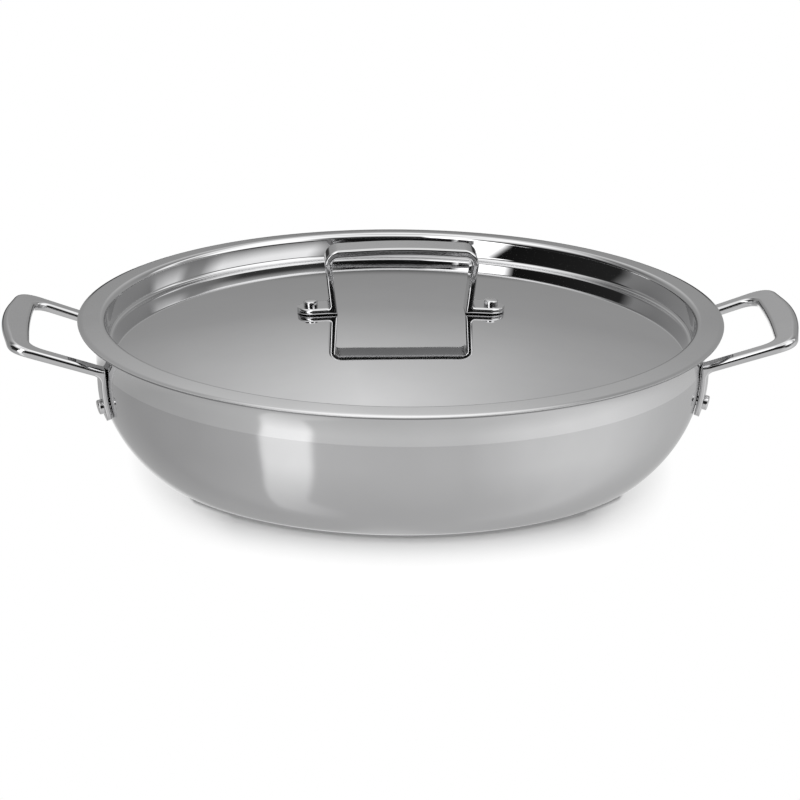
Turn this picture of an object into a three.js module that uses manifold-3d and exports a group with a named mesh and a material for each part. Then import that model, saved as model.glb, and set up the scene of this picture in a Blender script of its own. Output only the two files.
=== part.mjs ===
// Shallow clad pan with two riveted loop handles and a recessed, domed lid.
// Millimetres, +Z up, the pan stands on z = 0 with its axis on Z and its handles along X.
import * as THREE from 'three';
import { mergeVertices } from 'three/addons/utils/BufferGeometryUtils.js';
import Module from 'manifold-3d';

const wasm = await Module();
wasm.setup();
const { degToRad } = THREE.MathUtils;

// Clad sheet of the pan: two steel plies with an aluminium core between them
const cavityDiameter = 300;
const innerPly = 0.5;
const corePly = 1.6;
const outerPly = 0.5;
const bondLine = 0.05;

// Pan profile, measured on its outside face
const bowlRadius = 68;
const kneeRadius = 7;
const kneeAngle = degToRad(42);
const straightWall = 1;
const flareRadius = 24;
const flareAngle = degToRad(39.7);

// Side handles: a cast loop on two riveted pads
const handleProjection = 45.8;
const legSpacing = 80.4;
const legSplay = 3.5;
const legWidth = 8.4;
const legThickness = 4.5;
const legEdge = 1.1;
const legRise = degToRad(17.8);
const legDropBelowRim = 13.4;
const gripWidth = 13.8;
const gripThickness = 5.6;
const gripEdge = 2;
const outerBow = 7.6;
const outerCorner = 12.5;
const innerBow = 1.6;
const innerCorner = 9;
const padWidth = 9.6;
const padThickness = 2.8;
const padLength = 26.2;
const padRivetDrop = 18.9;
const legFillet = 3.5;

// Lid sheet, from its rolled flange inwards
const lidSheet = 1;
const lidOverhang = 3.7;
const lidFitClearance = 2.5;
const flangeDroop = 1.5;
const flangeBend = 2.4;
const lidWallDepth = 13.2;
const lidWallDraft = 1.4;
const panelFillet = 1.5;
const domeRise = 15.2;
const domeEdgeSlope = degToRad(12.8);

// Lid handle: a bent strap with two riveted feet
const archWidth = 16;
const archHeight = 34;
const archSpan = 78.6;
const archBow = 2.2;
const archBowRadius = 420;
const archThickness = 4.2;
const archOuterCorner = 7.5;
const archInnerCorner = 3.2;
const strapLegSpan = 71.8;
const strapLegThickness = 4;
const footSpan = 104;
const footThickness = 3.1;
const footFillet = 1.2;
const footEdge = 0.6;
const strapEdge = 0.7;
const footRivetOffset = 1.05;

// Rivets
const shankDiameter = 5;
const panRivetHead = 7.4;
const panRivetHeadHeight = 2.2;
const lidRivetHead = 7;
const lidRivetHeadHeight = 2.4;
const formedHead = 8.4;
const formedHeadHeight = 1.3;
const headEdge = 0.7;

// Clearances
const seatGap = 0.3;
const holeClearance = 0.3;
const formedHeadGap = 0.8;

// Facet counts
const latheSegments = 40;
const bowlSteps = 6;
const kneeSteps = 2;
const flareSteps = 2;
const domeSteps = 4;
const bendSteps = 2;
const cornerSteps = 6;
const edgeSteps = 3;
const rivetSides = 10;
const weld = 1e-4;

// Lengths that only have to reach past the body they cut or overlap
const overcut = 20;

// Share of a bow that lies between its crown and its corners, for a curve cut in from half of each edge
const crownShare = 0.75;
const bowRadius = 900;

// Sizes that follow from the ones above
const sheet = innerPly + corePly + outerPly + 2 * bondLine;
const wallRadius = cavityDiameter / 2 + sheet;
const bowlCentre = new THREE.Vector2(
  wallRadius - bowlRadius,
  kneeRadius + (bowlRadius - kneeRadius) * Math.cos(kneeAngle),
);
const kneeCentre = new THREE.Vector2(
  bowlCentre.x + (bowlRadius - kneeRadius) * Math.sin(kneeAngle),
  kneeRadius,
);
const flareCentre = new THREE.Vector2(wallRadius + flareRadius, bowlCentre.y + straightWall);
const panHeight = flareCentre.y + (flareRadius + sheet) * Math.sin(flareAngle);
const lipRadius = flareCentre.x - flareRadius * Math.cos(flareAngle);
const handleReach = wallRadius + handleProjection;
const legRootHeight = panHeight - legDropBelowRim;
const padBottom = legRootHeight - padLength;
const padMidRadius = wallRadius + seatGap + padThickness / 2;
const padAngle = Math.asin(legSpacing / 2 / padMidRadius);
const rimTopRadius = flareCentre.x - (flareRadius + sheet) * Math.cos(flareAngle);
const lidRadius = lipRadius + lidOverhang;
const panelRadius = cavityDiameter / 2 - lidFitClearance - lidSheet;
const flangeInnerRadius = panelRadius + lidWallDraft;
const flangeSlope = flangeDroop / (lidRadius - flangeInnerRadius);
const flangeTop = panHeight + seatGap + lidSheet + flangeSlope * (rimTopRadius - flangeInnerRadius);
const panelEdgeHeight = flangeTop - lidWallDepth;
const domeTop = panelEdgeHeight + domeRise;
const domeShoulder = panelRadius - domeRise / Math.tan(domeEdgeSlope);
// A lid rivet stands this far outside the middle of its foot's clear length
const lidRivetSpacing = (strapLegSpan + footSpan) / 2 + 2 * footRivetOffset;
const domeCurve = new THREE.QuadraticBezierCurve(
  new THREE.Vector2(0, domeTop),
  new THREE.Vector2(domeShoulder, domeTop),
  new THREE.Vector2(panelRadius, panelEdgeHeight),
);

// Turns a three.js geometry into a closed solid for joining and cutting
function toSolid(geometry) {
  const bare = new THREE.BufferGeometry();
  bare.setAttribute('position', geometry.getAttribute('position'));
  bare.setIndex(geometry.getIndex());
  const merged = mergeVertices(bare, weld);
  const index = merged.getIndex().array;
  const triangles = [];
  for (let i = 0; i < index.length; i += 3) {
    const [a, b, c] = index.slice(i, i + 3);
    if (a !== b && b !== c && c !== a) {
      triangles.push(a, b, c);
    }
  }
  return new wasm.Manifold(new wasm.Mesh({
    numProp: 3,
    vertProperties: merged.getAttribute('position').array,
    triVerts: Uint32Array.from(triangles),
  }));
}

// Turns a solid back into a three.js geometry with flat facets
function toGeometry(solid) {
  const mesh = solid.getMesh();
  const geometry = new THREE.BufferGeometry();
  geometry.setAttribute('position', new THREE.BufferAttribute(mesh.vertProperties, 3));
  geometry.setIndex(new THREE.BufferAttribute(mesh.triVerts, 1));
  geometry.computeVertexNormals();
  return geometry;
}

// Replaces each middle corner of a polyline by a tangent curve of about its radius, cut short by its edges
function filleted(corners, closed) {
  const count = corners.length;
  const points = [];
  corners.forEach(({ at, radius = 0, steps = bendSteps }, i) => {
    const isEnd = !closed && (i === 0 || i === count - 1);
    if (isEnd || radius === 0) {
      points.push(at.clone());
      return;
    }
    const back = corners[(i - 1 + count) % count].at.clone().sub(at);
    const ahead = corners[(i + 1) % count].at.clone().sub(at);
    const between = Math.acos(back.dot(ahead) / (back.length() * ahead.length()));
    const tangent = Math.min(radius / Math.tan(between / 2), back.length() / 2, ahead.length() / 2);
    const start = at.clone().addScaledVector(back.normalize(), tangent);
    const end = at.clone().addScaledVector(ahead.normalize(), tangent);
    const bend = at.z === undefined
      ? new THREE.QuadraticBezierCurve(start, at, end)
      : new THREE.QuadraticBezierCurve3(start, at, end);
    points.push(...bend.getPoints(steps));
  });
  return points;
}

// Moves a profile that starts on the axis to its left by a distance, with mitred corners
function offsetProfile(points, distance) {
  const normalAfter = (i) => {
    const along = points[i + 1].clone().sub(points[i]).normalize();
    return new THREE.Vector2(-along.y, along.x);
  };
  return points.map((point, i) => {
    const after = normalAfter(Math.min(i, points.length - 2));
    const before = i === 0 ? new THREE.Vector2(-after.x, after.y) : normalAfter(i - 1);
    const mitre = before.clone().add(after).divideScalar(1 + before.dot(after));
    return point.clone().addScaledVector(mitre, distance);
  });
}

// Revolves a closed profile about Z; it runs outwards along the lower or outer face first
function revolved(points, segments = latheSegments) {
  const lathe = new THREE.LatheGeometry(points, segments);
  lathe.rotateX(Math.PI / 2);
  return toSolid(lathe);
}

// Revolves a sheet between two offsets of one profile
function revolvedSheet(profile, from, to) {
  const lower = offsetProfile(profile, from);
  const upper = offsetProfile(profile, to);
  return revolved([...lower, ...upper.reverse()]);
}

// Extrudes an outline drawn in X and Z across Y, centred on Y = 0
function extrudedAcross(outline, width, edge) {
  const geometry = new THREE.ExtrudeGeometry(new THREE.Shape(outline), {
    depth: width - 2 * edge,
    bevelEnabled: edge > 0,
    bevelThickness: edge,
    bevelSize: edge,
    bevelOffset: -edge,
    bevelSegments: 1,
  });
  geometry.translate(0, 0, edge - width / 2);
  geometry.rotateX(Math.PI / 2);
  return toSolid(geometry);
}

// Joins a row of equal rings of points into one closed skin with flat ends
function lofted(rings) {
  const sides = rings[0].length;
  const positions = rings.flat().flatMap((point) => point.toArray());
  const index = [];
  for (let ring = 0; ring < rings.length - 1; ring += 1) {
    for (let side = 0; side < sides; side += 1) {
      const a = ring * sides + side;
      const b = ring * sides + (side + 1) % sides;
      index.push(a, b, a + sides, b, b + sides, a + sides);
    }
  }
  const last = (rings.length - 1) * sides;
  for (let side = 1; side < sides - 1; side += 1) {
    index.push(0, side + 1, side, last, last + side, last + side + 1);
  }
  const geometry = new THREE.BufferGeometry();
  geometry.setAttribute('position', new THREE.Float32BufferAttribute(positions, 3));
  geometry.setIndex(index);
  return toSolid(geometry);
}

// Outside face of the pan from the axis to the lip
function panProfile() {
  const knee = arcPoints(kneeCentre, kneeRadius, -Math.PI / 2, kneeAngle - Math.PI / 2, kneeSteps);
  const bowl = arcPoints(bowlCentre, bowlRadius, kneeAngle - Math.PI / 2, 0, bowlSteps);
  const flare = arcPoints(flareCentre, flareRadius, Math.PI, Math.PI - flareAngle, flareSteps);
  return [new THREE.Vector2(0, 0), ...knee, ...bowl.slice(1), ...flare];
}

// Points of an arc about a centre, both ends included
function arcPoints(centre, radius, from, to, steps) {
  return Array.from({ length: steps + 1 }, (unused, i) => {
    const angle = from + (to - from) * i / steps;
    return new THREE.Vector2(
      centre.x + radius * Math.cos(angle),
      centre.y + radius * Math.sin(angle),
    );
  });
}

// Place and outward tilt of the wall at a height below the flare
function wallAt(height) {
  const tilt = Math.asin(Math.max(0, bowlCentre.y - height) / bowlRadius);
  return { radius: bowlCentre.x + bowlRadius * Math.cos(tilt), tilt };
}

// Matrix that carries a rivet's axis from +Z to the wall's normal, at a pad's azimuth
function padRivetPlace(azimuth) {
  const height = legRootHeight - padRivetDrop;
  const { radius, tilt } = wallAt(height);
  return new THREE.Matrix4()
    .makeRotationZ(azimuth)
    .multiply(new THREE.Matrix4().makeTranslation(radius, 0, height))
    .multiply(new THREE.Matrix4().makeRotationY(Math.PI / 2 + tilt));
}

// Height and outward fall of the dome at a distance from the axis
function domeAt(distance) {
  const bulge = panelRadius - 2 * domeShoulder;
  const share = distance / (domeShoulder + Math.sqrt(domeShoulder ** 2 + bulge * distance));
  const fall = domeRise * share / (domeShoulder + bulge * share);
  return { height: domeTop - domeRise * share ** 2, lean: Math.atan(fall) };
}

// Matrix that carries a rivet's axis from +Z to the dome's normal, on one side of the lid along X
function lidRivetPlace(side) {
  const distance = lidRivetSpacing / 2;
  const { height, lean } = domeAt(distance);
  return new THREE.Matrix4()
    .makeTranslation(side * distance, 0, height)
    .multiply(new THREE.Matrix4().makeRotationY(side * lean));
}

// Rivet through a sheet below its origin and a fitting above it, with a formed head underneath
function rivet(sheetBelow, fittingAbove, headDiameter, headHeight, place) {
  const shank = shankDiameter / 2;
  const under = -sheetBelow - formedHeadGap;
  const seat = seatGap + fittingAbove + seatGap;
  const corners = [
    { at: new THREE.Vector2(0, under - formedHeadHeight) },
    { at: new THREE.Vector2(formedHead / 2, under - formedHeadHeight), radius: headEdge, steps: 1 },
    { at: new THREE.Vector2(formedHead / 2, under) },
    { at: new THREE.Vector2(shank, under) },
    { at: new THREE.Vector2(shank, seat) },
    { at: new THREE.Vector2(headDiameter / 2, seat) },
    { at: new THREE.Vector2(headDiameter / 2, seat + headHeight), radius: headEdge, steps: 1 },
    { at: new THREE.Vector2(0, seat + headHeight) },
  ];
  return placed(revolved(filleted(corners, false), rivetSides), place);
}

// Round cutter for a rivet's hole
function rivetHole(place) {
  const radius = shankDiameter / 2 + holeClearance;
  const cutter = new THREE.CylinderGeometry(radius, radius, overcut, rivetSides);
  cutter.rotateX(Math.PI / 2);
  return placed(toSolid(cutter), place);
}

// Moves a solid by a matrix
function placed(solid, matrix) {
  return solid.transform(matrix.elements);
}

// Section of a plate whose top face runs between two points: a rectangle with rounded edges
function plateSection(outer, inner, up, thickness, edge) {
  const across = inner.clone().sub(outer);
  const alongHalf = across.length() / 2 - edge;
  const upHalf = thickness / 2 - edge;
  across.normalize();
  const centre = inner.clone().lerp(outer, 0.5).addScaledVector(up, -thickness / 2);
  return [[1, 1], [-1, 1], [-1, -1], [1, -1]].flatMap(([side, face], corner) => (
    Array.from({ length: edgeSteps + 1 }, (unused, i) => {
      const angle = Math.PI / 2 * (corner + i / edgeSteps);
      return centre.clone()
        .addScaledVector(across, side * alongHalf + edge * Math.cos(angle))
        .addScaledVector(up, face * upHalf + edge * Math.sin(angle));
    })
  ));
}

// Loop of the right-hand handle: a rising flat plate between an outer and an inner outline
function handleLoop() {
  const rootY = legSpacing / 2;
  const rootX = Math.sqrt(wallRadius ** 2 - rootY ** 2);
  const startX = rootX - padWidth / 2;
  const splayAt = (x) => rootY + legSplay * (x - rootX) / (handleReach - rootX);
  const onTop = (x, y) => new THREE.Vector3(x, y, legRootHeight + (x - rootX) * Math.tan(legRise));
  const outline = (legSide, crownX, bow, radius) => {
    const cornerX = crownX - crownShare * bow;
    const legY = (x) => splayAt(x) + legSide * legWidth / 2;
    return filleted([
      { at: onTop(startX, -legY(startX)) },
      { at: onTop(cornerX, -legY(cornerX)), radius, steps: cornerSteps },
      { at: onTop(cornerX + bow, 0), radius: bowRadius, steps: cornerSteps },
      { at: onTop(cornerX, legY(cornerX)), radius, steps: cornerSteps },
      { at: onTop(startX, legY(startX)) },
    ], false);
  };
  const outer = outline(1, handleReach, outerBow, outerCorner);
  const inner = outline(-1, handleReach - gripWidth, innerBow, innerCorner);
  const up = new THREE.Vector3(-Math.sin(legRise), 0, Math.cos(legRise));
  const rings = outer.map((point, i) => {
    const fromEnd = Math.min(i, outer.length - 1 - i);
    const share = THREE.MathUtils.smoothstep(fromEnd, 1, 1 + cornerSteps);
    const thickness = THREE.MathUtils.lerp(legThickness, gripThickness, share);
    const edge = THREE.MathUtils.lerp(legEdge, gripEdge, share);
    return plateSection(point, inner[i], up, thickness, edge);
  });
  return lofted(rings);
}

// Pad of a side handle: a tab with a round lower end, bent to the wall, with a fillet under the leg
function handlePad(azimuth) {
  const half = padWidth / 2;
  const tab = filleted([
    { at: new THREE.Vector2(-half, legRootHeight) },
    { at: new THREE.Vector2(-half, padBottom), radius: half, steps: cornerSteps },
    { at: new THREE.Vector2(half, padBottom), radius: half, steps: cornerSteps },
    { at: new THREE.Vector2(half, legRootHeight) },
  ], true);
  const cutter = extrudedAcross(tab, 2 * overcut, 0);
  const turn = new THREE.Matrix4()
    .makeRotationZ(azimuth)
    .multiply(new THREE.Matrix4().makeTranslation(wallRadius, 0, 0))
    .multiply(new THREE.Matrix4().makeRotationZ(Math.PI / 2));
  const skin = wallEnvelope(seatGap + padThickness).intersect(placed(cutter, turn));
  const faceX = wallRadius + seatGap + padThickness;
  const legUnderside = legRootHeight - legThickness / Math.cos(legRise);
  const underLeg = (x) => legUnderside + (x - wallRadius) * Math.tan(legRise);
  const rise = legThickness / 2;
  const gusset = filleted([
    { at: new THREE.Vector2(wallRadius, underLeg(wallRadius) + rise) },
    { at: new THREE.Vector2(wallRadius, underLeg(faceX) - legFillet) },
    { at: new THREE.Vector2(faceX, underLeg(faceX) - legFillet) },
    { at: new THREE.Vector2(faceX, underLeg(faceX)), radius: legFillet, steps: bendSteps },
    { at: new THREE.Vector2(faceX + legFillet, underLeg(faceX + legFillet)) },
    { at: new THREE.Vector2(faceX + legFillet, underLeg(faceX + legFillet) + rise) },
  ], true);
  const web = extrudedAcross(gusset, legWidth, 0);
  return skin.add(placed(web, new THREE.Matrix4().makeRotationZ(azimuth)));
}

// Everything within a distance of the pan's outside face, closed over at the lip
function wallEnvelope(distance) {
  const outside = offsetProfile(panProfile(), -distance);
  const lip = outside[outside.length - 1];
  return revolved([...outside, new THREE.Vector2(0, lip.y)]);
}

// Right-hand handle, trimmed to the wall and pierced for its rivets
function sideHandle() {
  let body = handleLoop();
  for (const side of [-1, 1]) {
    body = body.add(handlePad(side * padAngle));
  }
  body = body.subtract(wallEnvelope(seatGap));
  for (const side of [-1, 1]) {
    body = body.subtract(rivetHole(padRivetPlace(side * padAngle)));
  }
  return body;
}

// One ply of the pan between two depths from the outside face, pierced for the handle rivets
function panPly(from, to) {
  let ply = revolvedSheet(panProfile(), from, to);
  for (const turn of [0, Math.PI]) {
    for (const side of [-1, 1]) {
      ply = ply.subtract(rivetHole(padRivetPlace(turn + side * padAngle)));
    }
  }
  return ply;
}

// Lid shell: dome, drawn wall and a drooped flange, pierced for the handle rivets
function lidShell() {
  const dome = domeCurve.getPoints(domeSteps);
  const rim = filleted([
    { at: dome[domeSteps - 1] },
    { at: dome[domeSteps], radius: panelFillet },
    { at: new THREE.Vector2(flangeInnerRadius, flangeTop), radius: flangeBend, steps: 2 * bendSteps },
    { at: new THREE.Vector2(lidRadius, flangeTop - flangeDroop) },
  ], false);
  const face = [...dome.slice(0, domeSteps - 1), ...rim];
  let shell = revolvedSheet(face, -lidSheet, 0);
  for (const side of [-1, 1]) {
    shell = shell.subtract(rivetHole(lidRivetPlace(side)));
  }
  return shell;
}

// Lid handle: side outline of the bent strap, trimmed in plan to round feet and pierced for its rivets
function lidHandle() {
  const onDome = (x, above) => new THREE.Vector2(x, domeAt(x).height + above);
  const top = domeTop + seatGap + archHeight;
  const shoulder = top - archBow;
  const footEnd = footSpan / 2;
  const legOut = strapLegSpan / 2;
  const legIn = legOut - strapLegThickness;
  const archOut = archSpan / 2;
  const archIn = archOut - strapLegThickness;
  const rightFoot = [
    { at: onDome(legIn, seatGap), radius: footEdge, steps: 1 },
    { at: onDome(footEnd, seatGap) },
    { at: onDome(footEnd, seatGap + footThickness), radius: footEdge, steps: 1 },
    { at: onDome(legOut, seatGap + footThickness), radius: footFillet },
    { at: new THREE.Vector2(archOut, shoulder), radius: archOuterCorner, steps: cornerSteps },
  ];
  const underArch = {
    at: new THREE.Vector2(archIn, shoulder - archThickness), radius: archInnerCorner, steps: bendSteps,
  };
  const mirrored = (corner) => ({ ...corner, at: new THREE.Vector2(-corner.at.x, corner.at.y) });
  const outline = filleted([
    ...rightFoot,
    { at: new THREE.Vector2(0, top), radius: archBowRadius, steps: cornerSteps },
    ...rightFoot.map(mirrored).reverse(),
    mirrored(underArch),
    { at: new THREE.Vector2(0, top - archThickness), radius: archBowRadius, steps: cornerSteps },
    underArch,
  ], true);
  const footRound = archWidth / 2;
  const plan = filleted([-1, 1].flatMap((x) => [-x, x].map((y) => ({
    at: new THREE.Vector2(x * footEnd, y * footRound), radius: footRound, steps: cornerSteps,
  }))), true);
  const planPrism = toSolid(new THREE.ExtrudeGeometry(new THREE.Shape(plan), {
    depth: top, bevelEnabled: false,
  }));
  let strap = extrudedAcross(outline, archWidth, strapEdge).intersect(planPrism);
  for (const side of [-1, 1]) {
    strap = strap.subtract(rivetHole(lidRivetPlace(side)));
  }
  return strap;
}

// Finishes
const satinSteel = { color: 0xa9aaac, roughness: 0.34, metalness: 1 };
const polishedSteel = { color: 0xbdbec0, roughness: 0.12, metalness: 1 };
const castSteel = { color: 0xb2b3b5, roughness: 0.2, metalness: 1 };
const aluminium = { color: 0xc3c5c8, roughness: 0.45, metalness: 1 };

function named(name, solid, finish) {
  const mesh = new THREE.Mesh(toGeometry(solid), new THREE.MeshStandardMaterial(finish));
  mesh.name = name;
  return mesh;
}

// Pan with its handles
const pan = new THREE.Group();
const coreFrom = outerPly + bondLine;
const coreTo = coreFrom + corePly;
pan.add(named('pan_outer_ply', panPly(0, outerPly), satinSteel));
pan.add(named('pan_core_ply', panPly(coreFrom, coreTo), aluminium));
pan.add(named('pan_inner_ply', panPly(coreTo + bondLine, sheet), satinSteel));
const handleSolid = sideHandle();
const halfTurn = new THREE.Matrix4().makeRotationZ(Math.PI);
pan.add(named('right_handle', handleSolid, castSteel));
pan.add(named('left_handle', placed(handleSolid, halfTurn), castSteel));
for (const [hand, turn] of [['right', 0], ['left', Math.PI]]) {
  for (const [place, side] of [['front', -1], ['rear', 1]]) {
    const azimuth = turn + (turn === 0 ? side : -side) * padAngle;
    const solid = rivet(sheet, padThickness, panRivetHead, panRivetHeadHeight, padRivetPlace(azimuth));
    pan.add(named(`${hand}_handle_${place}_rivet`, solid, polishedSteel));
  }
}

// Lid with its handle
const lid = new THREE.Group();
lid.add(named('lid_shell', lidShell(), polishedSteel));
lid.add(named('lid_handle', lidHandle(), polishedSteel));
for (const [hand, side] of [['left', -1], ['right', 1]]) {
  const place = lidRivetPlace(side);
  const solid = rivet(lidSheet, footThickness, lidRivetHead, lidRivetHeadHeight, place);
  lid.add(named(`lid_${hand}_rivet`, solid, polishedSteel));
}

const coveredPan = new THREE.Group();
coveredPan.add(pan, lid);
export default coveredPan;
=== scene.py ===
import math
import bpy
from mathutils import Matrix, Vector


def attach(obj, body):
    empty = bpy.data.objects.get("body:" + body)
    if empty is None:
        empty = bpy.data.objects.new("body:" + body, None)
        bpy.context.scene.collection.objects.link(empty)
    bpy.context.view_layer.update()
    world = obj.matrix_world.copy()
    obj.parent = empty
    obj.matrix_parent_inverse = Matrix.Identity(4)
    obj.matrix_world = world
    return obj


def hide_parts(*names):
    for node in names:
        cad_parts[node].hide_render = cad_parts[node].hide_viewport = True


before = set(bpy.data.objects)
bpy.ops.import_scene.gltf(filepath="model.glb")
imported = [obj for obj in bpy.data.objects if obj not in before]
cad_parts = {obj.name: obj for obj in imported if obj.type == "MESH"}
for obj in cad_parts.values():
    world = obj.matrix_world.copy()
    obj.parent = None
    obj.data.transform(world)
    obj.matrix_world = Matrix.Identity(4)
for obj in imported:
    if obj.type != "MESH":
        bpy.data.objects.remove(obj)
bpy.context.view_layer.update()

MM = 0.001

# Clad sheet and profile of the pan, in millimetres
SHEET = 2.7
PLIES = {"outer": (0.0, 0.5), "core": (0.55, 2.15), "inner": (2.2, 2.7)}
INNER_R = 150.0
WALL_R = INNER_R + SHEET
BOWL_R = 68.0
KNEE_R = 7.0
KNEE_A = math.radians(42)
STRAIGHT = 1.0
FLARE_R = 24.0
FLARE_A = math.radians(39.7)
GAP = 0.3

# Side handles
PROJECTION = 45.8
LEG_SPACING = 80.4
LEG_SPLAY = 3.5
LEG_W = 8.4
LEG_T = 4.5
LEG_EDGE = 2.0
LEG_RISE = math.radians(17.8)
LEG_DROP = 13.4
LEG_FILLET = 3.5
LEG_BEND_REACH = 9.0
GRIP_W = 13.8
GRIP_T = 5.6
GRIP_EDGE = 2.6
OUTER_BOW = 7.6
OUTER_CORNER = 12.5
INNER_BOW = 1.6
INNER_CORNER = 9.0
CROWN_SHARE = 0.75
PAD_W = 9.6
PAD_T = 2.8
PAD_EDGE = 1.2
PAD_LEN = 26.2

# Lid sheet
LID_T = 1.0
LID_OVERHANG = 3.7
LID_CLEAR = 2.5
FLANGE_DROOP = 1.5
FLANGE_BEND = 3.0
EDGE_ROLL = 2.2
EDGE_ROLL_R = 6.0
EDGE_ROLL_FALL = 0.6
LID_EDGE_R = 0.45
LID_WALL_DEPTH = 13.2
LID_WALL_DRAFT = 1.4
PANEL_FILLET = 2.2
DOME_RISE = 15.2
DOME_SLOPE = math.radians(12.8)

# Lid handle
ARCH_W = 16.0
ARCH_H = 34.0
ARCH_SPAN = 78.6
ARCH_BOW = 2.2
ARCH_T = 4.2
ARCH_OUT_R = 7.5
ARCH_IN_R = 3.2
STRAP_SPAN = 71.8
STRAP_T = 4.0
STRAP_EDGE = 1.3
FOOT_SPAN = 104.0
FOOT_T = 3.1
FOOT_FILLET = 1.2
FOOT_BEND_REACH = 6.0

# Rivets: heads outside, shank and formed ends inside
PAD_RIVET_DROP = 18.9
PAD_RIVET_HEAD = 7.4
PAD_RIVET_HEAD_H = 2.2
LID_RIVET_SPACING = 90.0
LID_RIVET_HEAD = 7.0
LID_RIVET_HEAD_H = 2.4
RIVET_HEAD_EDGE = 0.8
RIVET_HEAD_SIDE = 0.92
RIVET_HEAD_SINK = 0.25
RIVET_SHANK_R = 2.5
FORMED_HEAD = 8.4
FORMED_HEAD_H = 1.3
FORMED_EDGE = 0.7
FORMED_SIDE = 0.75
FORMED_GAP = 0.12

# Steps of the meshes
PAN_SEGMENTS = 256
LID_SEGMENTS = 320
RIVET_SEGMENTS = 48
STUDIO_SEGMENTS = 96
BASE_RINGS = (40.0, 80.0, 110.0)
KNEE_STEPS = 8
BOWL_STEPS = 36
FLARE_STEPS = 18
PAD_STEPS = 12
PAD_BEND_STEPS = 16
LEG_STEPS = 10
GRIP_CORNER_STEPS = 28
GRIP_SIDE_STEPS = 8
GRIP_CROWN_STEPS = 24
HANDLE_EDGE_STEPS = 8
RIVET_EDGE_STEPS = 8
DOME_STEPS = 64
PANEL_FILLET_STEPS = 12
FLANGE_BEND_STEPS = 16
EDGE_ROLL_STEPS = 12
EDGE_STOPS = (0.5, 0.94, 1.0)
LID_EDGE_STEPS = 5
# Steps at the underside end of the lid's edge that carry the dark steel of painted shade
PAINTED_SHADE_EDGE_STEPS = 7
FOOT_END_STEPS = 14
FOOT_STEPS = 6
FOOT_BEND_STEPS = 12
STRAP_LEG_STEPS = 9
ARCH_CORNER_STEPS = 24
ARCH_STEPS = 20
STRAP_EDGE_STEPS = 5

# Largest edge as a share of a narrow end's width, and the place on a flat of the points that hold it flat
NARROW_EDGE = 0.3
FLAT_SHARE = 0.9

# Degrees between faces from which an edge is sharp
SHARP = 34
SHARP_LID = 40
SHARP_CAST = 50

# Sizes that follow
BOWL_C = (WALL_R - BOWL_R, KNEE_R + (BOWL_R - KNEE_R) * math.cos(KNEE_A))
KNEE_C = (BOWL_C[0] + (BOWL_R - KNEE_R) * math.sin(KNEE_A), KNEE_R)
FLARE_C = (WALL_R + FLARE_R, BOWL_C[1] + STRAIGHT)
PAN_H = FLARE_C[1] + (FLARE_R + SHEET) * math.sin(FLARE_A)
LIP_R = FLARE_C[0] - FLARE_R * math.cos(FLARE_A)
RIM_TOP_R = FLARE_C[0] - (FLARE_R + SHEET) * math.cos(FLARE_A)
LEG_ROOT = PAN_H - LEG_DROP
PAD_BOTTOM = LEG_ROOT - PAD_LEN
PAD_ANGLE = math.asin(LEG_SPACING / 2 / (WALL_R + GAP + PAD_T / 2))
LID_R = LIP_R + LID_OVERHANG
PANEL_R = INNER_R - LID_CLEAR - LID_T
FLANGE_IN_R = PANEL_R + LID_WALL_DRAFT
FLANGE_FALL = FLANGE_DROOP / (LID_R - FLANGE_IN_R)
FLANGE_TOP = PAN_H + GAP + LID_T + FLANGE_FALL * (RIM_TOP_R - FLANGE_IN_R)
PANEL_Z = FLANGE_TOP - LID_WALL_DEPTH
DOME_TOP = PANEL_Z + DOME_RISE
DOME_SHOULDER = PANEL_R - DOME_RISE / math.tan(DOME_SLOPE)

# The mirror wall's finish takes in these shares of the panel's fillet and of the flange's bend
FILLET_SHARE = 1.2
BEND_SHARE = 0.8
PANEL_END = PANEL_R - PANEL_FILLET * FILLET_SHARE
MIRROR_END = FLANGE_IN_R + FLANGE_BEND * BEND_SHARE

# Wipe marks in gloss and tone, turning lines and cast grain of the steel
WIPE_NOISE = {"Scale": 16.0, "Detail": 4.0, "Roughness": 0.6}
WIPE_RANGE = (0.3, 0.7)
WIPE_TONES = (0.965, 1.03)
LINE_NOISE = {"Scale": 1.0, "Detail": 3.0, "Roughness": 0.65}
LINE_PITCH = 2400.0
LINE_HEIGHT_SHARE = 1.3
LINE_STRETCH = 9.0
GRAIN_NOISE = {"Scale": 1400.0, "Detail": 3.0, "Roughness": 0.6}
RELIEF = 0.0001

# The satin tops of the grips and the arch start at this share of the half thickness, the grips' with a fade
GRIP_SATIN_FROM = 0.93
GRIP_SATIN_FADE = 0.06
ARCH_SATIN_FROM = 0.98


def arc(cx, cz, radius, start, end, steps):
    """Points on an arc round a centre."""
    turn = (end - start) / steps
    return [(cx + radius * math.cos(start + turn * i), cz + radius * math.sin(start + turn * i))
            for i in range(steps + 1)]


def bezier(a, b, c, steps):
    """Points on a curve from a to c that leaves and arrives along the lines to b."""
    out = []
    for i in range(steps + 1):
        t = i / steps
        out.append(a * (1 - t) ** 2 + b * 2 * t * (1 - t) + c * t ** 2)
    return out


def fillet(before, corner, after, radius, steps):
    """Points of an arc tangent to both lines at a corner."""
    back = (before - corner).normalized()
    ahead = (after - corner).normalized()
    half = math.acos(max(-1, min(1, back.dot(ahead)))) / 2
    reach = min(radius / math.tan(half), (before - corner).length, (after - corner).length)
    radius = reach * math.tan(half)
    middle = corner + (back + ahead).normalized() * (radius / math.sin(half))
    start = corner + back * reach - middle
    end = corner + ahead * reach - middle
    sweep = math.pi - 2 * half
    out = []
    for i in range(steps + 1):
        t = i / steps
        turned = start * math.sin((1 - t) * sweep) + end * math.sin(t * sweep)
        out.append(middle + turned / math.sin(sweep))
    return out


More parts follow.
